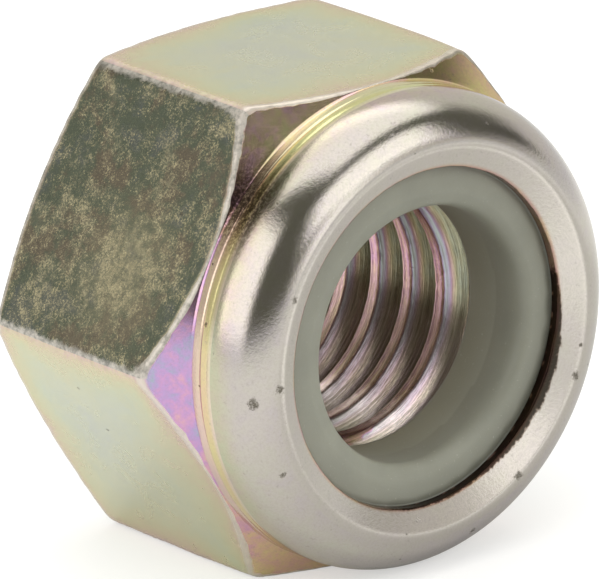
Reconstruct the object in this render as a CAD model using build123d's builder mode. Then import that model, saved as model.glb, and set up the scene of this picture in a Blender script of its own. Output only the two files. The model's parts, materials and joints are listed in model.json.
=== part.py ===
"""Prevailing-torque hexagon nut with a nylon insert, M6 coarse, 10 mm across flats.

The nut lies on one of its flats. The thread axis runs along Y: the bearing face is at
y = 0 and looks towards +Y, the crimped collar points towards -Y, and +Z is up.
Two pieces: the steel nut, turned from hexagon bar, and the nylon ring that its collar is
rolled over. All sizes are in millimetres, and heights are measured from the bearing face.
"""

import os
from math import acos, asin, cos, degrees, hypot, radians, sqrt, tan

from build123d import *

# ---- hexagon ----
across_flats = 10.0
corner_round = 0.25  # the softened corners of the bar
shoulder_height = 5.69  # where the collar leaves the hexagon
shoulder_chamfer_angle = 43.5  # between the chamfer and the bearing face
bearing_chamfer_angle = 24.0
bearing_inset = 0.45  # from a flat in to the edge of the bearing face

# ---- crimped collar ----
collar_inset = 0.02  # the collar is turned just under the flats
collar_wall = 0.62
collar_straight = 0.61  # upright stretch between the shoulder and the curl
curl_radius = 1.2  # outside of the rolled-over wall
rim_diameter = 6.9  # opening left by the rolled rim
rim_thickness = 0.38
rim_round = 0.1

# ---- thread, cored to its minor diameter ----
thread_bore = 5.15
countersink_diameter = 6.2
seat_chamfer = 0.12

# ---- nylon insert ----
pocket_sink = 0.29  # the pocket's floor lies this far below the shoulder
insert_bore = 5.45
insert_dish = 0.12  # how far the ring's face sinks from the rim to its bore
insert_round = 0.18
insert_clearance = 0.02  # round the ring's wall and under the rim; it rests on the floor

# ---- derived: hexagon ----
flat_radius = across_flats / 2
bar_radius = flat_radius / cos(radians(30))  # out to the sharp corners
bearing_radius = flat_radius - bearing_inset
bearing_rise = (bar_radius - bearing_radius) * tan(radians(bearing_chamfer_angle))

# ---- derived: collar, whose outside is an upright wall and one arc over to the rim ----
collar_radius = flat_radius - collar_inset
shoulder_drop = (bar_radius - collar_radius) * tan(radians(shoulder_chamfer_angle))
curl_height = shoulder_height + collar_straight
nut_height = curl_height + curl_radius
curl_centre = collar_radius - curl_radius
rim_radius = rim_diameter / 2
rim_lean = asin((curl_centre - rim_radius) / curl_radius)  # how far past the top it rolls
curl_sweep = 90 + degrees(rim_lean)
rim_height = curl_height + curl_radius * cos(rim_lean)

# ---- derived: pocket, whose roof is one arc, upright at the wall, that ends at the rim ----
pocket_radius = collar_radius - collar_wall
pocket_floor = shoulder_height - pocket_sink
roof_reach = pocket_radius - rim_radius
roof_rise = rim_height - rim_thickness - curl_height
roof_radius = hypot(roof_reach, roof_rise) ** 2 / (2 * roof_reach)
roof_centre = pocket_radius - roof_radius
roof_sweep = degrees(acos((rim_radius - roof_centre) / roof_radius))

# ---- derived: bore and ring ----
bore_radius = thread_bore / 2
countersink_radius = countersink_diameter / 2
countersink_depth = countersink_radius - bore_radius
insert_bore_radius = insert_bore / 2
ring_radius = roof_radius - insert_clearance
ring_sweep = degrees(acos((rim_radius - roof_centre) / ring_radius))
ring_face = curl_height + sqrt(ring_radius**2 - (rim_radius - roof_centre) ** 2)

# Local z of end_view runs up the nut from its bearing face. In half_section, x is the
# distance from the thread axis and y is the height.
end_view = Plane(origin=(0, 0, 0), x_dir=(1, 0, 0), z_dir=(0, -1, 0))
half_section = Plane(origin=(0, 0, 0), x_dir=(1, 0, 0), z_dir=(0, 0, -1))


# ---- steel nut: a hexagon bar, turned to the section of the finished nut ----
with BuildPart() as nut_body:
    with BuildSketch(end_view) as bar:
        RegularPolygon(flat_radius, side_count=6, major_radius=False)
        fillet(bar.vertices(), corner_round)
    extrude(amount=nut_height)

    with BuildSketch(half_section) as turned:
        with BuildLine():
            outside = Polyline(
                (bore_radius, countersink_depth),
                (countersink_radius, 0),
                (bearing_radius, 0),
                (bar_radius, bearing_rise),
                (bar_radius, shoulder_height - shoulder_drop),
                (collar_radius, shoulder_height),
                (collar_radius, curl_height),
            )
            curl = CenterArc((curl_centre, curl_height), curl_radius, 0, curl_sweep)
            roof = CenterArc((roof_centre, curl_height), roof_radius, 0, roof_sweep)
            Line(curl @ 1, roof @ 1)
            Polyline(
                roof @ 0,
                (pocket_radius, pocket_floor),
                (bore_radius + seat_chamfer, pocket_floor),
                (bore_radius, pocket_floor - seat_chamfer),
                outside @ 0,
            )
        make_face()
        rim_corner = turned.vertices().sort_by_distance(curl @ 1)[0]
        fillet(rim_corner, rim_round)
    revolve(axis=Axis.Y, mode=Mode.INTERSECT)

nut_body.part.label = "nut_body"


# ---- nylon ring, held under the rolled rim ----
with BuildPart() as nylon_insert:
    with BuildSketch(half_section) as ring_section:
        with BuildLine():
            crown = CenterArc((roof_centre, curl_height), ring_radius, 0, ring_sweep)
            Polyline(
                crown @ 1,
                (insert_bore_radius, ring_face - insert_dish),
                (insert_bore_radius, pocket_floor),
                (pocket_radius - insert_clearance, pocket_floor),
                crown @ 0,
            )
        make_face()
        bore_mouth = ring_section.vertices().group_by(Axis.X)[0].sort_by(Axis.Y)[-1]
        fillet(bore_mouth, insert_round)
    revolve(axis=Axis.Y)

nylon_insert.part.label = "nylon_insert"


os.makedirs("parts", exist_ok=True)
export_step(nut_body.part, "parts/nut_body.step")
export_step(nylon_insert.part, "parts/nylon_insert.step")
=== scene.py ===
import json
from math import cos, pi, radians, sin, tan

import bmesh
import bpy
import numpy as np
from mathutils import Matrix, Vector

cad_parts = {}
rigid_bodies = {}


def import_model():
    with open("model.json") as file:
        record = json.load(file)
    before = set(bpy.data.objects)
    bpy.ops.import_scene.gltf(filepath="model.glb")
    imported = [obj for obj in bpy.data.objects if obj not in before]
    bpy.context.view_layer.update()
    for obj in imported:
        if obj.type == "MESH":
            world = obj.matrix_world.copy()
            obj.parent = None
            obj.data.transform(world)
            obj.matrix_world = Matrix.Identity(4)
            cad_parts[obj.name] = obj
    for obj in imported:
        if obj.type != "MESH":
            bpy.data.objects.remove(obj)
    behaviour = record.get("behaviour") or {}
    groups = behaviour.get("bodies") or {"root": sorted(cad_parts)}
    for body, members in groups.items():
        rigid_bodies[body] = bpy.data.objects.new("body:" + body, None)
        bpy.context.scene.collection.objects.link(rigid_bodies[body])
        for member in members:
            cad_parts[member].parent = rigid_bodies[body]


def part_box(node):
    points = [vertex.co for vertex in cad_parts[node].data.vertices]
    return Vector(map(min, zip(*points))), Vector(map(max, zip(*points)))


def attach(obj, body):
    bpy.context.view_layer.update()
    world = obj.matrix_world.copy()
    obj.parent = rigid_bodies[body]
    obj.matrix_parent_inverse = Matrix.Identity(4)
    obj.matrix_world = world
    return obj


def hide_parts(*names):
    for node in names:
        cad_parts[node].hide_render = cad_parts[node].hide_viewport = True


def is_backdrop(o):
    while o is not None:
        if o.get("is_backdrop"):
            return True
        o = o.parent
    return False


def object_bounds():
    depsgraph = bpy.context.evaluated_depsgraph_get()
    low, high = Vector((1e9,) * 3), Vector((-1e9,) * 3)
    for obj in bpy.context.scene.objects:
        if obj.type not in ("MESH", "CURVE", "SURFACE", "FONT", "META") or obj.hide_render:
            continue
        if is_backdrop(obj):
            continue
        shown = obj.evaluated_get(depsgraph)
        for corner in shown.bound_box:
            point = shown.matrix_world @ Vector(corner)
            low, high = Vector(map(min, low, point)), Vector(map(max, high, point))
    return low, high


# Hexagon nut with a nylon ring, lying on one of its flats.
# The thread axis is Y, the bearing face is at y = 0, and the collar points to -Y.
# Shapes are worked out in millimetres and become metres as they go into a mesh. A point of a
# section is a radius and a height over the bearing face, each a number or one value a column.
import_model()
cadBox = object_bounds()
metres = 0.001
scene = bpy.context.scene
scene.view_settings.view_transform = "Standard"


# Small helpers

# Points from start to end in even steps, without the end.
def straight(start, end, steps):
    share = (np.arange(steps) / steps)[:, None]
    return start[0] + share * (end[0] - start[0]), start[1] + share * (end[1] - start[1])


# Points on a circle round a centre. A turn of 0 points away from the axis, a quarter to the front.
def arc(centre, reach, turn):
    return centre[0] + reach * np.cos(turn), centre[1] + reach * np.sin(turn)


# The point at a share of the way from a to b.
def along(a, b, share):
    return [a[k] + (b[k] - a[k]) * share for k in (0, 1)]


# Rounds the corner at point b on the way from a to c: a quadratic curve between the points
# that lie the given distance before and after the corner, or at most that share of the way.
def softCorner(a, b, c, reach, steps, most=0.45):
    before = np.hypot(a[0] - b[0], a[1] - b[1])
    after = np.hypot(c[0] - b[0], c[1] - b[1])
    first = along(b, a, np.minimum(reach / np.maximum(before, 1e-6), most))
    last = along(b, c, np.minimum(reach / np.maximum(after, 1e-6), most))
    s = np.linspace(0, 1, steps)[:, None]
    return [(1 - s) ** 2 * first[k] + 2 * s * (1 - s) * b[k] + s ** 2 * last[k] for k in (0, 1)]


# Sum of a few cosine waves over angle and height, with amplitude near 1 and seeded phases.
def ripple(angle, height, seed, around, along):
    pick = np.random.default_rng(seed)
    total = 0
    for k in range(7):
        turns = pick.integers(1, around + 1)
        waves = pick.uniform(-along, along)
        total = total + np.cos(turns * angle + waves * height + pick.uniform(0, 2 * pi))
    return total / 3.2


# 0 at low, 1 at high and smooth between: share squared x (3 - 2 x share).
def smoothRamp(value, low, high):
    share = np.clip((value - low) / (high - low), 0, 1)
    return share * share * (3 - 2 * share)


# Bell curve: exp(-(distance from the centre / reach) squared).
def bell(value, centre, reach):
    return np.exp(-((value - centre) / reach) ** 2)


# 1 in a direction given in degrees, 0 on the other side: ((1 + cosine) / 2) to a power.
def towards(angle, degrees, power):
    return ((1 + np.cos(angle - radians(degrees))) / 2) ** power


# Straight lines through values that are given at degrees round the axis.
def aroundAxis(angle, degrees, values):
    return np.interp(np.degrees(angle), degrees, values, period=360)


# Each flat's own value, counted round from the flat that faces +X and up.
def perFlat(angle, values):
    return np.array(values)[np.floor((angle % (2 * pi)) / radians(60)).astype(int)]


# A radius and height for each angle, as points in x, y and z.
def turned(angle, radius, height):
    return np.stack([radius * np.cos(angle), -height, radius * np.sin(angle)], -1)


# Cosine and sine of the angle, and the distance run along the section.
def layOf(angle, radius, height):
    steps = [np.diff(part, axis=0, prepend=part[:1]) for part in (radius, height)]
    run = np.cumsum(np.hypot(*steps), axis=0)
    return np.stack([np.cos(angle) + 0 * radius, np.sin(angle) + 0 * radius, run], -1)


# Faces between each point, the one to its right, and the same two in the next row.
def facesOf(index, right):
    corners = [index, right, np.roll(right, -1, axis=0), np.roll(index, -1, axis=0)]
    return np.stack(corners, -1).reshape(-1, 4)


# Unit vector at an azimuth (0 is -Y, 90 is +X) and an elevation, in degrees.
def direction(azimuth, elevation):
    a, e = radians(azimuth), radians(elevation)
    return Vector((sin(a) * cos(e), -cos(a) * cos(e), sin(e)))


# Makes one mesh object at the origin from points in millimetres and faces.
def makePiece(name, points, faces):
    mesh = bpy.data.meshes.new(name)
    points = points.reshape(-1, 3)
    mesh.vertices.add(len(points))
    mesh.vertices.foreach_set("co", (points * metres).astype(np.float32).ravel())
    mesh.loops.add(faces.size)
    mesh.loops.foreach_set("vertex_index", faces.astype(np.int32).ravel())
    mesh.polygons.add(len(faces))
    mesh.polygons.foreach_set("loop_start", np.arange(len(faces), dtype=np.int32) * 4)
    mesh.update()
    piece = bpy.data.objects.new(name, mesh)
    scene.collection.objects.link(piece)
    return piece


def paintPoints(mesh, name, kind, values):
    layer = mesh.attributes.new(name, kind, "POINT")
    field = "vector" if kind == "FLOAT_VECTOR" else "value"
    layer.data.foreach_set(field, values.astype(np.float32).ravel())


# Merges the points that coincide, drops the faces that have shrunk to nothing, and shades smooth.
def cleanPiece(piece):
    work = bmesh.new()
    work.from_mesh(piece.data)
    bmesh.ops.remove_doubles(work, verts=work.verts, dist=1.5e-7)
    bmesh.ops.dissolve_degenerate(work, edges=work.edges, dist=1e-7)
    bmesh.ops.recalc_face_normals(work, faces=work.faces)
    work.to_mesh(piece.data)
    work.free()
    piece.data.shade_smooth()
    piece.data.update()


# Camera

view = {
    "azimuth": -40.25,
    "elevation": 19.388,
    "roll": -1.19,
    "distance": 250,
    "target": (3.553, 0.965, -1.897),
    "lens": 723.6,
}


def placeCamera():
    back = direction(view["azimuth"], view["elevation"])
    right = (-back).cross(Vector((0, 0, 1))).normalized()
    turn = Matrix.Rotation(radians(view["roll"]), 3, back)
    right = turn @ right
    up = back.cross(right)
    data = bpy.data.cameras.new("camera")
    data.sensor_width = 36
    data.lens = view["lens"]
    data.clip_start = 0.01
    data.clip_end = 20
    camera = bpy.data.objects.new("camera", data)
    scene.collection.objects.link(camera)
    pose = Matrix((right, up, back)).transposed().to_4x4()
    pose.translation = (Vector(view["target"]) + back * view["distance"]) * metres
    camera.matrix_world = pose
    scene.camera = camera


placeCamera()


# Steel nut

nut = {
    "acrossFlats": 10.0,
    "cornerRound": 0.25,     # least rounding of the bar's corners
    "cornerWear": 0.16,      # how much further the corners are worn in places
    "endWear": 0.35,         # and near the bearing face
    "wornAt": (0.4, 5.2),    # heights that give the rounding at a flat's two ends
    "middle": 2.6,           # height that divides the two
    "flatRows": 54,
    "beadRound": 0.062,      # mean width of the bead between flat and front chamfer
    "beadRagged": 0.025,
    "shoulder": 5.69,
    "shoulderAngle": 43.5,
    "shallowAt": 60,         # the corner with a flatter chamfer
    "shallowBy": 0.13,
    "tipWear": 0.30,         # rounding of that corner's front end
    "creaseRound": 0.045,    # at the foot of the chamfer
    # height over the shoulder, depth and width of each groove in the upright wall
    "grooves": ((0.26, 0.013, 0.024), (0.47, 0.007, 0.04)),
    "bearingRadius": 4.55,
    "bearingAngle": 24.0,
    "bearingLip": 0.06,      # rounding where the bearing face meets its chamfer
    "collarRadius": 4.98,
    "curlStart": 6.30,
    "curlRadius": 1.2,
    "rimRadius": 3.52,
    "rimAside": -0.115,      # the opening lies off the axis by this much along X
    "rimAbove": 0.06,        # and along Z
    "rimFold": 0.045,
    "rimStart": 70,          # angle round the curl where it tightens to the crest's radius
    "crestRadius": 0.36,
    "crestEnd": 109,         # angle of the slope from there down to the rim
    "roofRadius": 0.78,
    "pocketRadius": 4.36,
    "pocketFloor": 5.40,
    "pocketGap": 0.004,
    "columnsPerSide": 24,    # on each half of a flat
    "waver": 0.006,          # unevenness of the turned surfaces
    # one value a flat, counted round from the one that faces +X and up: how darkly mottled, and how
    # rubbed
    "darkMottles": (0.55, 0.08, 1.0, 0.08, 0.45, 0.8),
    "rubs": (0.7, 0.35, 1.0, 0.22, 0.6, 0.8),
    # one value a corner, counted round from the one at +X
    "shoulderFilm": (1230, 1212, 1230, 1392, 1218, 1250),
    "shoulderTint": (0.50, 0.54, 0.36, 0.50, 0.52, 0.50),
    "shoulderDrift": (0.5, 0.35, 0.8, 1.1, 0.45, 0.5),
    "hazeFlat": 150,         # the flat with a pale haze, degrees, and the haze's centre on it
    "hazeSide": 0.95,
    "hazeHeight": 3.45,
    "darkPatchAt": 138,          # a dark patch on the front, degrees
    # degrees round the axis, and how far the tarnish and painted shade reach out from the rim there
    "tarnishShadeAt": (0, 14, 40, 240, 258, 274, 288, 305, 325, 345),
    "tarnishShadeReach": (0.09, 0.02, 0.01, 0.01, 0.05, 0.07, 0.06, 0.13, 0.20, 0.18),
}

thread = {
    "crestRadius": 2.575,
    "rootRadius": 3.0,
    "pitch": 1.0,
    "hand": -1,              # -1 climbs to the left, 1 to the right
    "start": 4.44,           # height of a crest's lower edge at angle 0
    "land": 0.27,
    "flank": 0.30,
    "rootFlat": 0.13,
    "mouth": 3.1,            # radius of the countersink at the bearing face
    "seat": 3.05,            # radius of the cone under the ring
    # where the rows of one turn lie, in shares of a pitch, denser at the profile's corners
    "rowMarks": (0, 0.02, 0.05, 0.15, 0.25, 0.28, 0.305, 0.34, 0.39, 0.45, 0.51, 0.555, 0.585,
                 0.62, 0.66, 0.695, 0.73, 0.78, 0.84, 0.91, 0.97, 0.985),
}

# kinds of surface
zones = {"flat": 0, "bearing": 1, "chamfer": 2, "upright": 3, "curl": 4, "rim": 5, "pocket": 6,
         "bore": 7, "bead": 8}


# Angle of each column round the axis, gathered towards the six corners:
# corner + 30 degrees x (step / steps) squared, on both sides of each corner.
def columnAngles():
    n = nut["columnsPerSide"]
    half = radians(30) * (np.arange(n) / n) ** 2.0
    oneSide = np.concatenate([half, radians(60) - radians(30) * (np.arange(n, 0, -1) / n) ** 2.0])
    return np.concatenate([oneSide + radians(60) * k for k in range(6)])


# Angle from the nearest corner of the hexagon.
def fromCorner(angle):
    return np.abs((angle + radians(30)) % radians(60) - radians(30))


# Distance from the axis to the hexagon: half the width across flats / the cosine of the angle
# from the flat's normal, and near a corner the circle that rounds it.
def hexagonRadius(angle, rounding):
    flat = nut["acrossFlats"] / 2
    off = fromCorner(angle)
    tangent = radians(30) - np.arctan((flat - rounding) * tan(radians(30)) / flat)
    centre = (flat - rounding) / cos(radians(30))
    onFlat = flat / np.cos(radians(30) - off)
    inside = np.maximum(rounding ** 2 - (centre * np.sin(off)) ** 2, 0)
    onRound = centre * np.cos(off) + np.sqrt(inside)
    return np.where(off > tangent, onFlat, onRound)


# Thread profile against the share of a pitch: a flat crest, a flank out to the root, a flat root
# and a flank back, averaged over a short window so that its corners are soft, and less a small
# burr at the crest's edge.
def threadRadius(share):
    land = thread["land"]
    out = land + thread["flank"]
    back = out + thread["rootFlat"]
    marks = np.array([0, land, out, back, 1.0])
    low, high = thread["crestRadius"], thread["rootRadius"]
    radii = np.array([low, low, high, high, low])
    mean = sum(np.interp((share + 0.011 * k) % 1.0, marks, radii) for k in range(-2, 3)) / 5
    return mean - 0.014 * bell((share + 0.5) % 1.0, 0.515, 0.013)


# Slope of the front chamfer, a little flatter round the corner that was cut less.
def chamferSlope(angle):
    less = nut["shallowBy"] * towards(angle, nut["shallowAt"], 6)
    return tan(radians(nut["shoulderAngle"])) * (1 - less)


# Radius of the opening's rim: a circle set a little off the axis.
def rimAt(angle):
    return nut["rimRadius"] + nut["rimAside"] * np.cos(angle) + nut["rimAbove"] * np.sin(angle)


# The nut's section as rows of radius, height and zone, from the bearing face's inner edge round
# the outside, over the rim and through the pocket to the top of the bore.
def nutRows(angle):
    one = np.ones_like(angle)
    topR, topH = nut["collarRadius"], nut["shoulder"]
    bearingTurn = radians(nut["bearingAngle"])
    curlH, curlR = nut["curlStart"], nut["curlRadius"]
    curlC = topR - curlR
    rows = []

    # takes up a strip, without as many of its first rows as skip says
    def add(strip, zone, skip=0):
        r, h = np.broadcast_arrays(strip[0] * one, strip[1] * one)
        rows.append((r[skip:], h[skip:], np.full(len(r) - skip, zones[zone])))

    # rounding of the corners: uneven wear, and more of it at both ends
    def worn(height):
        rough = 0.5 + 0.5 * ripple(angle, height, 3, 40, 9) + 0.3 * ripple(angle, height, 4, 60, 40)
        near = towards(angle, nut["shallowAt"], 6)
        wear = nut["cornerRound"] + nut["cornerWear"] * np.clip(rough, 0, 1.4) * (1 - 0.8 * near)
        tip = np.exp(np.minimum(height - 4.95, 0) / 0.35) * (0.2 + 0.8 * near)
        return wear + nut["endWear"] * np.exp(-height / 0.5) + nut["tipWear"] * tip

    lowR, highR = [hexagonRadius(angle, worn(height)) for height in nut["wornAt"]]
    mouth = (thread["mouth"], 0)
    bearing = (nut["bearingRadius"], 0)
    low = (lowR, (lowR - nut["bearingRadius"]) * tan(bearingTurn))
    high = (highR, topH - (highR - topR) * chamferSlope(angle))
    shoulder = (topR, topH)

    # bearing face and its chamfer
    lip = nut["bearingLip"]
    add(straight(mouth, (bearing[0] - lip, 0), 6), "bearing")
    add(softCorner(mouth, bearing, low, lip, 4), "bearing")
    start = (bearing[0] + lip * cos(bearingTurn), lip * sin(bearingTurn))
    reach = np.hypot(low[0] - bearing[0], low[1])
    edge = np.minimum(0.05 + 0.02 * ripple(angle, 0, 7, 90, 1), 0.4 * reach)
    add(straight(start, along(low, bearing, edge / reach), 8), "bearing", 1)
    add(softCorner(bearing, low, (lowR, low[1] + 1), edge, 5), "bead")

    # flats: even steps of height between the two chamfers, with the worn corners
    slant = np.hypot(highR - topR, high[1] - topH)
    beads = nut["beadRound"] + nut["beadRagged"] * ripple(angle, 0, 11, 150, 1)
    beads = np.minimum(beads, 0.45 * slant)
    share = (np.arange(1, nut["flatRows"]) / nut["flatRows"])[:, None]
    first, last = low[1] + edge, high[1] - beads
    height = first + share * (last - first)
    plain = np.where(height < nut["middle"], lowR, highR)
    blend = np.sin(pi * share) ** 0.3
    add((plain + blend * (hexagonRadius(angle, worn(height)) - plain), height), "flat")

    # front chamfer, the turned crease at its foot, and the upright wall
    add(softCorner((highR, high[1] - 1), high, shoulder, beads, 7), "bead")
    foot = nut["creaseRound"]
    near = along(shoulder, high, np.minimum(foot / slant, 0.45))
    add(straight(along(high, shoulder, beads / slant), near, 12), "chamfer", 1)
    add(softCorner(high, shoulder, (topR, curlH), foot, 6), "chamfer")
    height = np.linspace(topH + foot + 0.02, curlH, 20, endpoint=False)[:, None]
    groove = sum(deep * bell(height - topH, up, wide) for up, deep, wide in nut["grooves"])
    add((topR - groove, height), "upright")

    # rolled-over wall: an arc, a tighter one over the crest, a slope, and a fold down at the rim
    rim = rimAt(angle)
    end = radians(nut["rimStart"])
    whole = radians(90) + np.arcsin((curlC - nut["rimRadius"]) / curlR)

    # the arc's radius, less a little waver
    def wallRadius(turn):
        waver = 0.003 + nut["waver"] * (0.6 + 0.4 * ripple(angle, turn * 1.2, 21, 9, 3))
        return curlR - waver * np.sin(np.clip(turn / whole, 0, 1) * pi * 0.9 + 0.1)

    turn = np.linspace(0, end, 42, endpoint=False)[:, None]
    add(arc((curlC, curlH), wallRadius(turn), turn), "curl")
    crestR, crestEnd = nut["crestRadius"], radians(nut["crestEnd"])
    crest = arc((curlC, curlH), wallRadius(end) - crestR, end)
    add(arc(crest, crestR, np.linspace(end, crestEnd, 15)[:, None]), "rim")
    top = arc(crest, crestR, crestEnd)
    fold = nut["rimFold"]
    ragged = 0.008 * ripple(angle, 0, 31, 26, 1) + 0.009 * ripple(angle, 0, 32, 150, 1)
    edgeR = rim + 0.012 + ragged * 0.5
    foot = edgeR + fold + fold * cos(crestEnd)
    foot = (foot, top[1] + (top[0] - foot) / tan(crestEnd))
    add(straight(top, foot, 11), "rim", 1)
    foldC = (edgeR + fold, foot[1] - fold * sin(crestEnd))
    add(arc(foldC, fold, np.linspace(crestEnd, pi, 6)[:, None]), "rim")
    roofR = nut["pocketRadius"] - nut["roofRadius"]
    roofTurn = np.arccos((rim - roofR) / nut["roofRadius"])
    lower = (rim + 0.010, curlH + nut["roofRadius"] * np.sin(roofTurn))
    add(straight((edgeR, foldC[1]), lower, 6), "rim", 1)

    # pocket roof, wall and floor, all under the ring
    gap = nut["pocketGap"]
    roof = (roofR + gap, curlH + gap)
    add(arc(roof, nut["roofRadius"], np.linspace(roofTurn, 0, 10)), "pocket")
    wall = (nut["pocketRadius"] + gap, curlH)
    base = (wall[0], nut["pocketFloor"])
    add(straight(wall, base, 6), "pocket", 1)
    add(straight(base, (thread["seat"], base[1]), 5), "pocket")
    return [np.concatenate(part) for part in zip(*rows)]


# Rows of the bore: height = row mark + hand x angle / full turn x pitch, kept between the ends,
# and radius = the greatest of thread profile, seat cone and countersink cone at that height.
def boreRows(angle):
    pitch, hand, start = thread["pitch"], thread["hand"], thread["start"]
    top = nut["pocketFloor"]
    mark = (np.arange(-8, 3)[:, None] + np.array(thread["rowMarks"])).ravel()[::-1]
    mark = start + mark * pitch
    low, high = (0, pitch) if hand < 0 else (-pitch, 0)
    mark = mark[(mark > low - 1.2 * pitch) & (mark < top + high + 0.06 * pitch)][:, None]
    lead = hand * angle / (2 * pi)
    height = np.clip(mark + lead * pitch, 0, top)
    share = ((height - start) / pitch - lead) % 1.0
    radius = threadRadius(share)
    nicks = 0.010 * np.clip(ripple(angle, mark * 6, 51, 60, 9), 0, 1.5)
    radius = radius + nicks * (radius < thread["crestRadius"] + 0.03)
    cone = np.maximum(thread["seat"] - (top - height), thread["mouth"] - height)
    return np.maximum(radius, cone), height, share, cone > radius


# Light's path through the yellow film, how strongly it colours, and the distance from the edges
# that are rubbed bright, for each point outside the bore.
def filmOn(angle, radius, height, on):
    half = radians(30)
    aside = nut["acrossFlats"] / 2 * (tan(half) - np.tan(half - fromCorner(angle)))
    outer = hexagonRadius(angle, nut["cornerRound"])
    toFront = nut["shoulder"] - (outer - nut["collarRadius"]) * chamferSlope(angle) - height
    toBack = height - (outer - nut["bearingRadius"]) * tan(radians(nut["bearingAngle"]))
    gap = np.minimum(np.minimum(aside, 0.9 * np.abs(toFront)), np.abs(toBack))
    worn = np.minimum(np.minimum(aside, 6.0 * np.abs(toFront)), 3.0 * np.abs(toBack))
    worn = np.minimum(worn, 0.45 * np.hypot(aside, toFront))

    # flats: thicker towards the edges
    drift = 30 * ripple(angle, height, 61, 5, 1.6) + 18 * ripple(angle, height, 62, 14, 3.5)
    flatFilm = 1045 + 205 * np.exp(-gap / 0.60) + drift
    flatTint = 0.16 + 0.17 * np.exp(-gap / 0.7)

    # upright wall: bands that follow its two grooves, thinner over the top
    up = height - nut["shoulder"]
    between = smoothRamp(up, 0.22, 0.32)
    over = towards(angle, 80, 3)
    crease = 1256 - 62 * between + 55 * smoothRamp(up, 0.46, 0.64) - over * (100 - 60 * between)
    crease = crease + 22 * ripple(angle, up * 3, 64, 9, 5)
    creaseTint = 0.32 + 0.14 * between - 0.28 * smoothRamp(up, 0.42, 0.62)

    # curl: fades out as it turns to the front, and comes back at the rim
    turn = np.arctan2(height - nut["curlStart"], radius - (nut["collarRadius"] - nut["curlRadius"]))
    curl = 1205 + 50 * smoothRamp(turn, 0.1, 0.9) + 40 * ripple(angle, turn * 2, 65, 7, 4)
    curlTint = 0.24 - 0.15 * smoothRamp(turn, 0.05, 0.5)
    deep = smoothRamp(rimAt(angle) + 0.10 - radius, 0.0, 0.08)

    corners = np.arange(6) * 60
    back = 1120 + 60 * ripple(angle, radius, 66, 6, 4)
    kinds = [on["bead"], on["flat"], on["chamfer"], on["upright"], on["curl"], on["bearing"]]
    film = np.select(kinds, [flatFilm, flatFilm, aroundAxis(angle, corners, nut["shoulderFilm"]),
                             crease, curl, back], 1235 + 15 * deep)
    tint = np.select(kinds, [0.10, flatTint, aroundAxis(angle, corners, nut["shoulderTint"]),
                             creaseTint, curlTint, 0.30], 0.09 + 0.50 * deep)
    return film, tint, np.where(on["bead"], 0.0, worn)


# How darkly each flat is mottled. On the rim it is tarnish and painted shade against the ring,
# reaching out by an amount that varies round it, and elsewhere on the front a dark patch near one
# corner.
def darkeningOn(angle, radius, height, on):
    reach = aroundAxis(angle, nut["tarnishShadeAt"], nut["tarnishShadeReach"])
    ragged = 0.022 * ripple(angle, 0, 67, 90, 1) + 0.026 * ripple(angle, 0, 69, 260, 1)
    edge = smoothRamp(rimAt(angle) + reach * (1 + 4 * ragged) - radius, -0.02, 0.07)
    burr = smoothRamp(height, 7.13, 7.09) * np.clip(1.5 * ripple(angle, 0, 68, 120, 1), 0, 0.9)
    darkPatch = 0.50 * bell(np.degrees(angle), nut["darkPatchAt"], 13) * (1 - smoothRamp(height, 6.2, 6.8))
    kinds = [on["flat"], on["rim"] | on["pocket"], on["chamfer"] | on["upright"] | on["curl"]]
    return np.select(kinds, [perFlat(angle, nut["darkMottles"]), edge * (1 - burr), darkPatch], 0.0)


# Pale haze on one flat: exp(-(distance from its centre, in units of its reach) squared).
def hazeOn(angle, radius, height, on):
    away = angle - radians(nut["hazeFlat"])
    onSide = radius * np.cos(away) > 4.5
    haze = ((radius * np.sin(away) - nut["hazeSide"]) / 1.2) ** 2 + (height - nut["hazeHeight"]) ** 2
    return np.where(on["flat"] & onSide, np.exp(-haze), 0.0)


# Shares of the bore's lower half, where shade is painted, and of its bottom, which is painted bright.
def shadedLowerHalf(angle):
    return aroundAxis(angle, (0, 180, 258, 276, 290, 336, 357), (0, 0.2, 0, 0, 1, 1, 0))


def litBottom(angle):
    return aroundAxis(angle, (212, 232, 290, 303), (0, 1, 1, 0))


# Film on the thread: pink lands, a blue-grey start of the flank, olive in the root, and brown all
# over in the lower half, as part of its painted shade; weaker at the bottom, a painted highlight.
def filmOnThread(angle, share, onCone):
    past = share - thread["land"]
    low = shadedLowerHalf(angle)
    flank = smoothRamp(past, -0.02, 0.02)
    root = smoothRamp(past, 0.06, 0.16)
    film = 1252 + (215 - 60 * low) * flank - 380 * root * (1 - low) - 150 * root * low
    film = film + 20 * ripple(angle, share * 9, 71, 4, 3)
    tint = 0.46 - 0.12 * flank - 0.06 * root - 0.14 * low
    # weaker tint at the bottom: part of its painted highlight
    tint = tint * (1 - 0.6 * litBottom(angle))
    return np.where(onCone, 1255, film), np.where(onCone, 0.5, tint)


# Painted shade in the thread: little on the lands, more on the flank and in the root, most low
# down, less on the last turn and least at the bottom, which is painted bright.
def paintedShadeOnThread(angle, height, share, onCone):
    past = share - thread["land"]
    low = shadedLowerHalf(angle)
    flank = smoothRamp(past, 0.0, 0.05)
    root = smoothRamp(past, 0.05, 0.15)
    last = smoothRamp(height, 4.3, 4.6)
    amount = 0.08 + (0.86 - 0.40 * last) * flank + 0.14 * root + 0.45 * low * (1 - flank)
    amount = amount - 0.28 * low * flank
    amount = amount * (1 - litBottom(angle) * (0.9 - 0.45 * root))
    return np.where(onCone, 0.42 + 0.3 * low, np.clip(amount, 0, 1))


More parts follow.
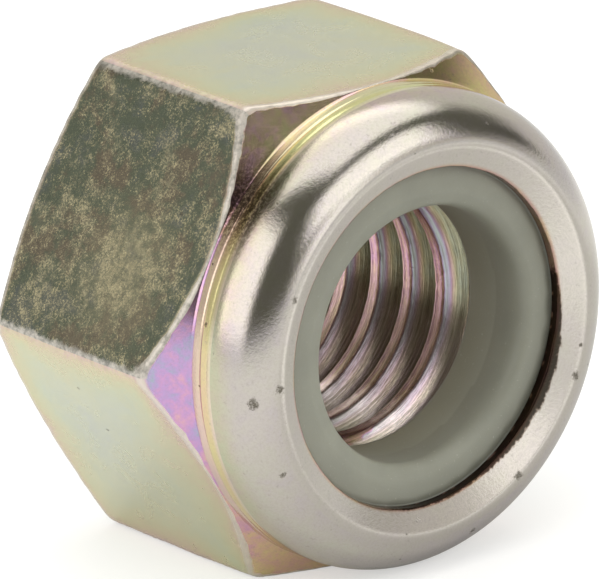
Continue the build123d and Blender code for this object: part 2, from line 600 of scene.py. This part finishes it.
def makeNut():
    angle = columnAngles()
    columns = len(angle)
    radius, height, zone = nutRows(angle)
    boreR, boreH, share, onCone = boreRows(angle)
    count, bore = len(radius), len(boreR)
    allR = np.concatenate([radius, boreR])
    allH = np.concatenate([height, boreH])
    index = np.arange(allR.size).reshape(-1, columns)
    right = np.roll(index, -1, axis=1)
    # the bore's last column joins its first a whole pitch further along
    step = -thread["hand"] * len(thread["rowMarks"])
    right[count:, -1] = index[count + np.clip(np.arange(bore) + step, 0, bore - 1), 0]
    right[count, -1] = index[count, 0]
    piece = makePiece("nutBody", turned(angle, allR, allH), facesOf(index, right))

    # finish of each face: 0 the bar, 1 turned, 2 the thread
    zoneAll = np.concatenate([zone, np.full(bore, zones["bore"])])
    onBar = (zoneAll == zones["flat"]) | (zoneAll == zones["bead"])
    finish = np.select([onBar, zoneAll == zones["bore"]], [0, 2], 1)
    mesh = piece.data
    mesh.polygons.foreach_set("material_index", np.repeat(finish, columns).astype(np.int32))

    on = {name: (zone == number)[:, None] for name, number in zones.items()}
    film, tint, gap = filmOn(angle, radius, height, on)
    boreFilm, boreTint = filmOnThread(angle, share, onCone)
    # painted shade in the thread
    threadShade = paintedShadeOnThread(angle, boreH, share, onCone)
    corner = aroundAxis(angle, np.arange(6) * 60, nut["shoulderDrift"])
    kinds = [on["chamfer"], on["upright"], on["curl"]]
    # Values outside the bore and in it. Gap is the distance from a rubbed edge, rub how rubbed it
    # is, grain the height of the skin, and drift how much the film changes from place to place.
    painted = {
        "film": (film, boreFilm),
        "tint": (tint, boreTint),
        "gap": (gap, 1.0),
        "haze": (hazeOn(angle, radius, height, on), 0.0),
        "rub": (perFlat(angle, nut["rubs"]), 0.0),
        "grain": (np.select(kinds, [0.25, 0.5, 1.0], 1.0), 0.0),
        "drift": (np.select(kinds, [corner, 0.15, 0.5], 0.25), 0.0),
        # a dark mottle on the flats, tarnish and painted shade at the rim, and painted shade in the
        # thread
        "darkening": (darkeningOn(angle, radius, height, on), threadShade),
    }
    for name, (outside, inside) in painted.items():
        both = [np.broadcast_to(outside, radius.shape), np.broadcast_to(inside, boreR.shape)]
        paintPoints(mesh, name, "FLOAT", np.concatenate(both))
    wind = np.zeros((*allR.shape, 3))
    wind[count:] = np.stack([np.cos(2 * pi * share), np.sin(2 * pi * share), 0 * share], -1)
    paintPoints(mesh, "lay", "FLOAT_VECTOR", layOf(angle, allR, allH))
    paintPoints(mesh, "wind", "FLOAT_VECTOR", wind)
    cleanPiece(piece)
    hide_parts("nut_body")
    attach(piece, "root")
    print("nut body:", len(mesh.polygons), "faces")
    return piece


# Nylon ring

ring = {
    "bore": 2.665,
    "floor": 5.402,
    "face": 7.05,            # height of the face's crown
    "crown": 3.10,           # and its radius
    "innerFall": 0.12,       # fall of the face to the bore and to the rim
    "outerFall": 0.02,
    "play": 0.02,            # between its shoulder and the pocket's roof
    "lip": 0.07,             # least rounding of the bore's mouth
    "lipMore": 0.40,         # and how much more there is where the mouth is worn wide
    "lipSide": -15,          # in this direction, degrees round the axis
    "lipEnd": 10,            # row of the face where the rounding aims
    "ringShadeSide": 325,        # side with the most painted shade against the rim and over the face, degrees
    "columns": 240,
}


# The ring's section turned round the axis: up the bore, over a soft lip, out along the crowned
# face, under the rim, down the wall and back along the floor. The face falls from its crown with
# the square of the distance from it.
def makeRing():
    angle = np.linspace(0, 2 * pi, ring["columns"], endpoint=False)
    rim = rimAt(angle) + 0.005
    roofC = nut["pocketRadius"] - nut["roofRadius"]
    inner = nut["roofRadius"] - ring["play"]
    lean = np.arccos((rim + 0.01 - roofC) / inner)
    bore, crown, end = ring["bore"], ring["crown"], ring["lipEnd"]
    out = np.linspace(bore, rim, 30)
    within = ring["innerFall"] * ((crown - out) / (crown - bore)) ** 2
    beyond = ring["outerFall"] * ((out - crown) / (rim - crown)) ** 2
    faceH = ring["face"] - np.where(out < crown, within, beyond) + 0.010 * ripple(angle, 0, 81, 6, 1)
    mouth = (bore, faceH[0])
    low = (bore, ring["floor"])
    wall = (roofC + inner, nut["curlStart"])
    base = (wall[0], ring["floor"])
    lip = ring["lip"] + ring["lipMore"] * towards(angle, ring["lipSide"], 2.5)
    strips = [
        straight(low, (bore, mouth[1] - lip), 18),
        softCorner(low, mouth, (out[end], faceH[end]), lip, 16, 0.9),
        (out[end:], faceH[end:]),
        arc((roofC, nut["curlStart"]), inner, np.linspace(lean, 0, 12)),
        [row[1:] for row in straight(wall, base, 5)],
        straight(base, low, 5),
    ]
    radius, height = [np.concatenate([row + 0 * angle for row in rows]) for rows in zip(*strips)]
    index = np.arange(radius.size).reshape(radius.shape)
    faces = facesOf(index, np.roll(index, -1, axis=1))
    piece = makePiece("nylonRing", turned(angle, radius, height), faces)
    paintPoints(piece.data, "lay", "FLOAT_VECTOR", layOf(angle, radius, height))
    # painted shade on the ring: darker towards the rim, most on one side, and a little darker all over
    # that side of the face
    side = towards(angle, ring["ringShadeSide"], 2)
    ragged = radius + 0.02 * ripple(angle, 0, 82, 40, 1)
    ringShade = smoothRamp(ragged, rim - 0.10 - 0.25 * side, rim + 0.02) * (0.5 + 0.5 * side)
    ringShade = np.where(height > ring["floor"] + 0.8, np.maximum(ringShade, 0.30 * side), 0.0)
    paintPoints(piece.data, "ringShade", "FLOAT", ringShade)
    cleanPiece(piece)
    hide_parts("nylon_insert")
    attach(piece, "root")
    print("nylon ring:", len(piece.data.polygons), "faces")
    return piece


nutBody = makeNut()
nylonRing = makeRing()


# Node helpers

# Adds a node; sockets is {input: value or output socket}, settings are the node's properties.
def put(tree, kind, sockets=None, **settings):
    made = tree.nodes.new("ShaderNode" + kind)
    for name, value in settings.items():
        setattr(made, name, value)
    for name, value in (sockets or {}).items():
        if isinstance(value, bpy.types.NodeSocket):
            tree.links.new(value, made.inputs[name])
        else:
            made.inputs[name].default_value = value
    return made


def calc(tree, operation, *values, clamp=False):
    made = put(tree, "Math", dict(enumerate(values)), operation=operation, use_clamp=clamp)
    return made.outputs[0]


def times(tree, first, second):
    return calc(tree, "MULTIPLY", first, second)


# value x amount + base
def scaled(tree, value, amount, base, clamp=False):
    return calc(tree, "MULTIPLY_ADD", value, amount, base, clamp=clamp)


# (value - 0.5) x amount + base, for noise, whose mean is 0.5.
def sway(tree, value, amount, base=0.0, clamp=False):
    return scaled(tree, calc(tree, "SUBTRACT", value, 0.5), amount, base, clamp)


def vector(tree, operation, first, second):
    return put(tree, "VectorMath", {0: first, 1: second}, operation=operation).outputs


def mixColour(tree, share, first, second, kind="MIX"):
    sockets = {0: share, 6: first, 7: second}
    return put(tree, "Mix", sockets, data_type="RGBA", blend_type=kind).outputs[2]


def ramp(tree, value, low, high, bottom=0.0, top=1.0):
    sockets = {"Value": value, "From Min": low, "From Max": high, "To Min": bottom, "To Max": top}
    return put(tree, "MapRange", sockets, interpolation_type="SMOOTHSTEP").outputs[0]


def noise(tree, vector, scale, detail=3.0, roughness=0.55, distortion=0.0):
    made = put(tree, "TexNoise", {"Vector": vector, "Scale": scale, "Detail": detail,
                                  "Roughness": roughness, "Distortion": distortion})
    return made.outputs[0]


# Group with inputs {label: value}, where None is a vector and a tuple a colour. What the build
# function returns is its one output.
def newGroup(name, inputs, kind, build):
    group = bpy.data.node_groups.new(name, "ShaderNodeTree")
    for label, value in inputs.items():
        sort = "Vector" if value is None else "Float" if isinstance(value, float) else "Color"
        socket = group.interface.new_socket(label, in_out="INPUT", socket_type="NodeSocket" + sort)
        if value is not None:
            socket.default_value = value
    group.interface.new_socket("Result", in_out="OUTPUT", socket_type="NodeSocket" + kind)
    made = build(group, group.nodes.new("NodeGroupInput").outputs)
    group.links.new(made, group.nodes.new("NodeGroupOutput").inputs[0])
    return group


def useGroup(tree, group, sockets):
    return put(tree, "Group", sockets, node_tree=group).outputs[0]


# Effects shared by the finishes

# Interference colour of a thin film: for red, green and blue light the brightness is
# 0.5 + 0.5 x cosine(2 pi x path / wavelength), mixed over the metal by a strength.
def buildFilm(group, given):
    bands = []
    for wavelength in (612, 549, 465):
        wave = calc(group, "COSINE", times(group, given["Path"], 2 * pi / wavelength))
        dark = times(group, scaled(group, wave, -0.5, 0.5), given["Strength"])
        bands.append(calc(group, "SUBTRACT", 1.0, dark))
    tinted = put(group, "CombineColor", dict(enumerate(bands)))
    return mixColour(group, 1.0, tinted.outputs[0], given["Metal"], "MULTIPLY")


# Small dark pits: round cells of a Voronoi pattern, kept where a cell's random value is high.
def buildPits(group, given):
    rough = put(group, "TexNoise", {"Vector": given["Vector"], "Scale": 14.0, "Detail": 2.0}).outputs
    bent = vector(group, "SUBTRACT", rough["Color"], (0.5, 0.5, 0.5))[0]
    bent = vector(group, "MULTIPLY", bent, (0.1, 0.1, 0.1))[0]
    place = vector(group, "ADD", given["Vector"], bent)[0]
    cells = put(group, "TexVoronoi", {"Vector": place, "Scale": given["Density"]}).outputs
    pick = put(group, "SeparateColor", {"Color": cells["Color"]}).outputs
    size = times(group, given["Size"], scaled(group, pick[1], 0.8, 0.4))
    near = calc(group, "DIVIDE", cells["Distance"], times(group, size, given["Density"]))
    kept = calc(group, "LESS_THAN", pick[0], given["Share"])
    return times(group, ramp(group, near, 1.1, 0.7), kept)


# One dark speck with a ragged outline: distance from its centre, bent by noise, under its size.
def buildSpeck(group, given):
    away = vector(group, "DISTANCE", given["Vector"], given["Centre"])["Value"]
    near = sway(group, noise(group, given["Vector"], 9.0, 4.0, 0.75), 0.30, away)
    share = calc(group, "DIVIDE", near, given["Size"])
    grain = ramp(group, noise(group, given["Vector"], 25.0, 2.0, 0.6), 0.35, 0.55, 0.35, 1.0)
    return times(group, ramp(group, share, 1.25, 0.35), grain)


# Marks that run round the axis: noise on the lay, with a small scale round and a large one across.
def buildTurning(group, given):
    part = put(group, "SeparateXYZ", {0: given["Lay"]}).outputs
    scales = (given["Around"], given["Around"], given["Fineness"])
    stretched = {k: times(group, part[k], scale) for k, scale in enumerate(scales)}
    return noise(group, put(group, "CombineXYZ", stretched).outputs[0], 1.0, 4.0, 0.65)


# Worn edges: full where the distance from the edge is under a width, with the width broken up.
def buildWear(group, given):
    shift = sway(group, noise(group, given["Vector"], 3.2, 6.0, 0.85), given["Breakup"])
    reach = times(group, given["Width"], scaled(group, shift, 2.0, 1.0))
    share = calc(group, "DIVIDE", given["Gap"], calc(group, "MAXIMUM", reach, 0.001))
    return ramp(group, share, 1.35, 0.5)


film = {"Path": 1200.0, "Strength": 0.2, "Metal": (0.8, 0.8, 0.8, 1)}
thinFilm = newGroup("thinFilm", film, "Color", buildFilm)
pits = newGroup("pits", {"Vector": None, "Density": 1.5, "Size": 0.1, "Share": 0.2}, "Float", buildPits)
speckAt = newGroup("speckAt", {"Vector": None, "Centre": None, "Size": 0.1}, "Float", buildSpeck)
lay = {"Lay": None, "Fineness": 20.0, "Around": 1.2}
turningMarks = newGroup("turningMarks", lay, "Float", buildTurning)
wear = {"Vector": None, "Gap": 1.0, "Width": 0.1, "Breakup": 0.8}
edgeWear = newGroup("edgeWear", wear, "Float", buildWear)


# Finishes

plating = {
    "metal": (0.80, 0.755, 0.67, 1),     # zinc under the film
    "turned": (0.600, 0.588, 0.555, 1),  # duller on the turned surfaces
    "tapped": (0.93, 0.86, 0.82, 1),     # brighter on the thread
    "dull": (0.74, 0.70, 0.65, 1),       # rubbed edges
    "scuffed": (0.34, 0.33, 0.30, 1),    # dirt caught in them
    "dirt": (0.045, 0.035, 0.022, 1),
    "spot": (0.075, 0.062, 0.035, 1),
    "darkGreen": (0.140, 0.163, 0.122, 1),
    "darkBrown": (0.188, 0.162, 0.124, 1),
    "darkBlue": (0.150, 0.168, 0.155, 1),
    "grainGold": (0.60, 0.54, 0.36, 1),
    "dullHaze": (0.30, 0.285, 0.215, 1),
    "haze": (0.40, 0.37, 0.25, 1),       # the pale haze on one flat
    "threadShade": (0.30, 0.265, 0.225, 1),  # painted shade that multiplies the colour in the roots of the thread and its lower half
    "copper": (0.40, 0.32, 0.27, 1),     # first tint of the tarnish and painted shade inside the rim
    "rimTarnishShade": (0.092, 0.083, 0.072, 1),
    "flatRoughness": 0.19,
    "turnedRoughness": 0.08,
    "threadRoughness": 0.18,
    # heights of the fine relief in mm
    "grainHeight": 0.006,
    "skinHeight": 0.0035,
    "turningHeight": 0.0008,
    "cutHeight": 0.009,
    "pitDepth": 0.01,
}

# larger specks on the rolled wall: angle round the axis, angle round the curl, and size in mm
specks = ((345, 81, 0.07), (336, 77, 0.09), (302, 79, 0.11), (283, 56, 0.07), (262, 96, 0.14),
          (180, 73, 0.09), (183, 46, 0.12), (205, 58, 0.06), (154, 73, 0.08))


def onCurl(angle, turn):
    a = radians(angle)
    centre = (nut["collarRadius"] - nut["curlRadius"], nut["curlStart"])
    out, height = arc(centre, nut["curlRadius"], radians(turn))
    return out * cos(a), -height, out * sin(a)


def newFinish(name):
    finish = bpy.data.materials.new(name)
    finish.use_nodes = True
    tree = finish.node_tree
    tree.nodes.clear()
    out = put(tree, "OutputMaterial")
    coordinates = put(tree, "TexCoord")
    sized = put(tree, "Mapping", {"Vector": coordinates.outputs["Object"], "Scale": (1000, 1000, 1000)})
    return finish, tree, out, sized.outputs[0]


def read(tree, name, kind="Fac"):
    return put(tree, "Attribute", attribute_name=name).outputs[kind]


# Ends a finish with its shader and a bump from a height in millimetres.
def coat(tree, out, colour, roughness, height, more):
    height = times(tree, height, metres)
    bump = put(tree, "Bump", {"Height": height, "Strength": 1.0, "Distance": 1.0})
    shader = put(tree, "BsdfPrincipled", {"Base Color": colour, "Roughness": roughness,
                                          "Normal": bump.outputs[0], **more})
    tree.links.new(shader.outputs[0], out.inputs[0])


# Plated bar surface: thin film that thickens towards the edges, grainy skin, rubbed corners.
def barFinish():
    finish, tree, out, place = newFinish("platedBar")
    grain = noise(tree, place, 17.0, 4.0, 0.72)
    patches = noise(tree, place, 1.3, 4.0, 0.6, 0.6)
    path = sway(tree, patches, 170.0, sway(tree, grain, 240.0, read(tree, "film")))
    film = {"Path": path, "Strength": read(tree, "tint"), "Metal": plating["metal"]}
    colour = useGroup(tree, thinFilm, film)

    # grains of gold over a dark mottle, denser in patches, and a smooth gold haze
    grains = noise(tree, place, 24.0, 3.0, 0.8)
    clumps = noise(tree, place, 4.2, 4.0, 0.7)
    cloud = noise(tree, place, 0.95, 3.0, 0.6, 0.9)
    cover = sway(tree, cloud, 0.46, sway(tree, clumps, 0.62, grains))
    hue = noise(tree, place, 0.85, 4.0, 0.7)
    shade = mixColour(tree, ramp(tree, hue, 0.38, 0.50), plating["darkBrown"], plating["darkGreen"])
    shade = mixColour(tree, ramp(tree, hue, 0.52, 0.64), shade, plating["darkBlue"])
    haze = times(tree, ramp(tree, cloud, 0.52, 0.68), 0.30)
    shade = mixColour(tree, haze, shade, plating["dullHaze"])
    pale = times(tree, ramp(tree, clumps, 0.36, 0.58, 0.45, 1.0), read(tree, "haze"))
    shade = mixColour(tree, pale, shade, plating["haze"])
    darkMottled = mixColour(tree, ramp(tree, cover, 0.46, 0.76), shade, plating["grainGold"])
    colour = mixColour(tree, read(tree, "darkening"), colour, darkMottled)

    # rubbed edges with dirt in them, and pits
    wear = {"Vector": place, "Gap": read(tree, "gap"), "Width": 0.14, "Breakup": 1.7}
    rubbed = useGroup(tree, edgeWear, wear)
    edge = mixColour(tree, ramp(tree, clumps, 0.32, 0.62), plating["scuffed"], plating["dull"])
    rub = read(tree, "rub")
    chafed = times(tree, rub, ramp(tree, grains, 0.30, 0.55, 0.65, 0.95))
    colour = mixColour(tree, times(tree, rubbed, chafed), colour, edge)
    spots = useGroup(tree, pits, {"Vector": place, "Density": 1.7, "Size": 0.07, "Share": 0.12})
    colour = mixColour(tree, times(tree, spots, 0.55), colour, plating["dirt"])

    rough = scaled(tree, patches, 0.14, plating["flatRoughness"])
    rough = scaled(tree, times(tree, rubbed, rub), 0.26, rough)
    height = scaled(tree, noise(tree, place, 34.0, 2.0, 0.6), 0.4, grain)
    height = times(tree, height, plating["grainHeight"])
    coat(tree, out, colour, rough, height, {"Metallic": 1.0})
    return finish


# Plated turned surface: film by region, fine rings from the tool, dark pits and specks, and the
# tarnish and painted shade at the rim.
def turnedFinish():
    finish, tree, out, place = newFinish("platedTurned")
    lay = read(tree, "lay", "Vector")
    marks = useGroup(tree, turningMarks, {"Lay": lay, "Fineness": 26.0, "Around": 1.6})
    mottle = noise(tree, place, 5.0, 4.0, 0.62, 0.3)
    patches = noise(tree, place, 1.5, 3.0, 0.6, 0.5)
    change = sway(tree, mottle, 220.0, sway(tree, patches, 440.0))
    path = scaled(tree, change, read(tree, "drift"), read(tree, "film"))
    smooth = read(tree, "grain")
    metal = mixColour(tree, ramp(tree, smooth, 1.0, 0.5), plating["turned"], plating["metal"])
    film = {"Path": path, "Strength": read(tree, "tint"), "Metal": metal}
    colour = useGroup(tree, thinFilm, film)

    spots = useGroup(tree, pits, {"Vector": place, "Density": 2.0, "Size": 0.045, "Share": 0.34})
    for angle, turn, size in specks:
        speck = {"Vector": place, "Centre": onCurl(angle, turn), "Size": size}
        spots = calc(tree, "MAXIMUM", spots, useGroup(tree, speckAt, speck))
    colour = mixColour(tree, times(tree, spots, 0.78), colour, plating["spot"])
    skin = noise(tree, place, 14.0, 4.0, 0.75)
    where = ramp(tree, mottle, 0.42, 0.62, 0.08, 0.50)
    speckle = times(tree, ramp(tree, skin, 0.55, 0.70), where)
    colour = mixColour(tree, speckle, colour, plating["scuffed"])
    fine = ramp(tree, noise(tree, place, 21.0, 2.0, 0.6), 0.40, 0.66, 0.0, 0.10)
    colour = mixColour(tree, fine, colour, plating["dullHaze"])
    # tarnish and painted shade at the rim
    darkening = times(tree, read(tree, "darkening"), ramp(tree, skin, 0.62, 0.45, 0.55, 0.97))
    deepest = mixColour(tree, ramp(tree, darkening, 0.20, 0.6), plating["copper"], plating["rimTarnishShade"])
    colour = mixColour(tree, ramp(tree, darkening, 0.0, 0.5), colour, deepest, "MULTIPLY")

    rough = scaled(tree, mottle, 0.12, plating["turnedRoughness"])
    rough = scaled(tree, spots, 0.3, rough)
    rough = calc(tree, "ADD", rough, ramp(tree, smooth, 0.7, 0.3, 0.0, 0.03))
    height = times(tree, times(tree, skin, plating["skinHeight"]), smooth)
    height = scaled(tree, marks, plating["turningHeight"], height)
    height = calc(tree, "SUBTRACT", height, times(tree, spots, plating["pitDepth"]))
    coat(tree, out, colour, rough, height, {"Metallic": 1.0})
    return finish


# Tapped thread: strong film colours in streaks that follow the helix, and cutting lines.
def threadFinish():
    finish, tree, out, place = newFinish("platedThread")
    lay = put(tree, "SeparateXYZ", {0: read(tree, "lay", "Vector")}).outputs
    wind = put(tree, "SeparateXYZ", {0: read(tree, "wind", "Vector")}).outputs
    # four coordinates, so that the streaks close on themselves after each turn and each pitch
    around = {0: times(tree, lay[0], 0.30), 1: times(tree, lay[1], 0.30), 2: wind[0]}
    around = {"Vector": put(tree, "CombineXYZ", around).outputs[0], "W": wind[1]}
    fine, broad = [put(tree, "TexNoise", {**around, "Scale": scale, "Detail": detail,
                                          "Roughness": rough}, noise_dimensions="4D").outputs[0]
                   for scale, detail, rough in ((6.0, 4.0, 0.75), (2.6, 2.0, 0.5))]
    mottle = noise(tree, place, 3.0, 3.0)
    path = sway(tree, fine, 160.0, read(tree, "film"))
    path = sway(tree, mottle, 120.0, sway(tree, broad, 200.0, path))
    film = {"Path": path, "Strength": read(tree, "tint"), "Metal": plating["tapped"]}
    lines = times(tree, calc(tree, "SUBTRACT", 0.5, fine), 3.2)
    # painted shade in the thread, broken up by the cutting lines
    dull = scaled(tree, lines, 0.75, read(tree, "darkening"), True)
    colour = mixColour(tree, dull, useGroup(tree, thinFilm, film), plating["threadShade"], "MULTIPLY")
    rough = scaled(tree, mottle, 0.12, plating["threadRoughness"])
    height = times(tree, fine, plating["cutHeight"])
    coat(tree, out, colour, rough, height, {"Metallic": 1.0})
    return finish


nylon = {
    "pale": (0.330, 0.335, 0.278, 1),
    "deep": (0.272, 0.277, 0.230, 1),
    "inside": (0.275, 0.264, 0.195, 1),  # painted shade deep in the bore, also the tone of the grain's specks
    "ringShade": (0.085, 0.085, 0.065, 1),   # painted shade where it meets the rim and on its darker side
    "fleck": (0.6, 0.6, 0.52, 1),
    "roughness": 0.37,
    "grainHeight": 0.0012,               # mm
    "turningHeight": 0.0022,
}


# Moulded nylon: a waxy grey-green body, a faint grain and the rings left by the tool.
def nylonFinish():
    finish, tree, out, place = newFinish("greyNylon")
    lay = read(tree, "lay", "Vector")
    marks = useGroup(tree, turningMarks, {"Lay": lay, "Fineness": 14.0, "Around": 2.2})
    cloud = sway(tree, noise(tree, place, 1.1, 3.0), 1.6, 0.5, True)
    colour = mixColour(tree, cloud, nylon["pale"], nylon["deep"])
    run = put(tree, "SeparateXYZ", {0: lay}).outputs[2]
    # painted shade: darker deeper in the bore
    colour = mixColour(tree, ramp(tree, run, 1.60, 0.05), colour, nylon["inside"])
    # painted shade against the rim and on one side of the face
    colour = mixColour(tree, times(tree, read(tree, "ringShade"), 0.85), colour, nylon["ringShade"])
    grain = noise(tree, place, 30.0, 3.0, 0.6)
    flecks = ramp(tree, noise(tree, place, 18.0, 2.0, 0.7), 0.66, 0.74, 0.0, 0.30)
    colour = mixColour(tree, flecks, colour, nylon["fleck"])
    colour = mixColour(tree, ramp(tree, grain, 0.35, 0.65, 0.0, 0.12), colour, nylon["inside"])
    rings = times(tree, marks, nylon["turningHeight"])
    height = scaled(tree, grain, nylon["grainHeight"], rings)
    rough = scaled(tree, grain, 0.1, nylon["roughness"])
    coat(tree, out, colour, rough, height, {
        "Subsurface Weight": 0.40, "Subsurface Scale": 0.0005, "Subsurface Radius": (1.0, 0.9, 0.7)})
    return finish


for finish in (barFinish(), turnedFinish(), threadFinish()):
    nutBody.data.materials.append(finish)
nylonRing.data.materials.append(nylonFinish())
print("finishes made")


# Floor, lamps and surroundings

studio = {
    "floor": (0.54, 0.54, 0.53, 1),
    "farFloor": (0.02, 0.02, 0.02, 1),   # colour far off, where the floor's own white takes over
    "lift": 0.50,            # white that the floor shows besides the light on it
    "sheen": 0.24,           # the same in reflections
    "farSheen": 0.74,
    # painted light and shade on the floor that only reflections see: centre, reach in mm and added glow
    "pools": (((12, -14), 24, -0.22), ((7, -20), 8, 0.9)),
    # azimuth, elevation and angle at which each part of the room ends
    "parts": {"backWall": (-150, 3, 38), "wall": (140, 18, 57), "table": (25, -12, 42),
              "bench": (88, -22, 47), "strip": (14, 5, 15), "slot": (73, 12, 10)},
    "backWall": (0.58, 0.565, 0.51, 1),
    "wall": (0.74, 0.72, 0.66, 1),
    "table": (0.72, 0.70, 0.66, 1),
    "bench": (0.72, 0.70, 0.66, 1),
    "strip": (1.5, 1.48, 1.44, 1),
    "slot": (0.10, 0.10, 0.08, 1),
    "gaps": (0.135, 0.135, 0.108, 1),    # between the parts
    "below": (0.8, 0.79, 0.76, 1),       # under the horizon
    "fill": (0.86, 0.86, 0.84, 1),       # what matt surfaces receive from all round
    # azimuth, elevation, width and height in degrees, radiance and colour of each lamp
    "lamps": {"lampLeft": (-95, 25, 58, 50, 1.45, (1.0, 0.97, 0.93)),
              "lampFront": (18, 33, 50, 28, 1.45, (1.0, 0.99, 0.96)),
              "lampTop": (120, 80, 62, 62, 1.25, (1.0, 0.985, 0.96))},
    "lampDistance": 0.4,
}


# Floor that stays white to the camera but for the shadow, and fades to its own white far off.
def makeFloor():
    half = 1.5
    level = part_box("nut_body")[0].z
    points = [(x, y, level) for x, y in ((-half, -half), (half, -half), (half, half), (-half, half))]
    mesh = bpy.data.meshes.new("floor")
    mesh.from_pydata(points, [], [(0, 1, 2, 3)])
    floor = bpy.data.objects.new("floor", mesh)
    scene.collection.objects.link(floor)
    finish, tree, out, place = newFinish("floorPaper")
    path = put(tree, "LightPath").outputs
    mirrored = calc(tree, "MAXIMUM", path["Is Glossy Ray"], path["Is Transmission Ray"])
    far = put(tree, "VectorMath", {0: place}, operation="LENGTH").outputs["Value"]
    fade = ramp(tree, far, 25.0, 90.0)
    colour = mixColour(tree, fade, studio["floor"], studio["farFloor"])
    direct = scaled(tree, fade, 1 - studio["lift"], studio["lift"])
    glossy = scaled(tree, fade, studio["farSheen"] - studio["sheen"], studio["sheen"])
    # glow painted on the floor for reflections only: light where it is above 0, shade below
    for centre, reach, glow in studio["pools"]:
        away = vector(tree, "DISTANCE", place, (*centre, 0))["Value"]
        pool = ramp(tree, away, reach, 0.45 * reach, 0.0, glow)
        glossy = calc(tree, "MAXIMUM", calc(tree, "ADD", glossy, pool), 0.0)
    glow = times(tree, path["Is Camera Ray"], direct)
    glow = scaled(tree, mirrored, glossy, glow)
    shader = put(tree, "BsdfPrincipled", {"Base Color": colour, "Roughness": 0.9,
                                          "Specular IOR Level": 0.0, "Emission Color": (1, 1, 1, 1),
                                          "Emission Strength": glow})
    tree.links.new(shader.outputs[0], out.inputs[0])
    mesh.materials.append(finish)
    floor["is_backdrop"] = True


# A soft lamp that faces the origin. Its power is radiance x pi x area.
def softLamp(name, azimuth, elevation, wide, high, radiance, colour):
    distance = studio["lampDistance"]
    away = direction(azimuth, elevation)
    data = bpy.data.lights.new(name, "AREA")
    data.shape = "RECTANGLE"
    data.size = 2 * distance * tan(radians(wide / 2))
    data.size_y = 2 * distance * tan(radians(high / 2))
    data.energy = radiance * pi * data.size * data.size_y
    data.color = colour
    lamp = bpy.data.objects.new(name, data)
    scene.collection.objects.link(lamp)
    lamp.location = away * distance
    lamp.rotation_euler = away.to_track_quat("Z", "Y").to_euler()
    lamp.visible_camera = False


# The room in reflections, one even level for matt surfaces, and white to the camera.
def makeWorld():
    world = bpy.data.worlds.new("studio")
    scene.world = world
    world.use_nodes = True
    tree = world.node_tree
    tree.nodes.clear()
    way = put(tree, "TexCoord").outputs["Generated"]
    around = studio["gaps"]
    for label, (azimuth, elevation, wide) in studio["parts"].items():
        facing = vector(tree, "DOT_PRODUCT", way, direction(azimuth, elevation))["Value"]
        share = ramp(tree, facing, cos(radians(wide)), cos(radians(wide * 0.6)))
        around = mixColour(tree, share, around, studio[label])
    height = put(tree, "SeparateXYZ", {0: way}).outputs[2]
    around = mixColour(tree, ramp(tree, height, 0.0, -0.04), around, studio["below"])
    path = put(tree, "LightPath").outputs
    colour = mixColour(tree, path["Is Diffuse Ray"], around, studio["fill"])
    colour = mixColour(tree, path["Is Camera Ray"], colour, (1, 1, 1, 1))
    back = put(tree, "Background", {"Color": colour, "Strength": 1.0})
    tree.links.new(back.outputs[0], put(tree, "OutputWorld").inputs[0])


makeFloor()
for name, lamp in studio["lamps"].items():
    softLamp(name, *lamp)
makeWorld()
print("studio made")

boxes = {"cad": cadBox, "visual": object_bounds()}
boxes = {name: [[float(v) for v in corner] for corner in box] for name, box in boxes.items()}
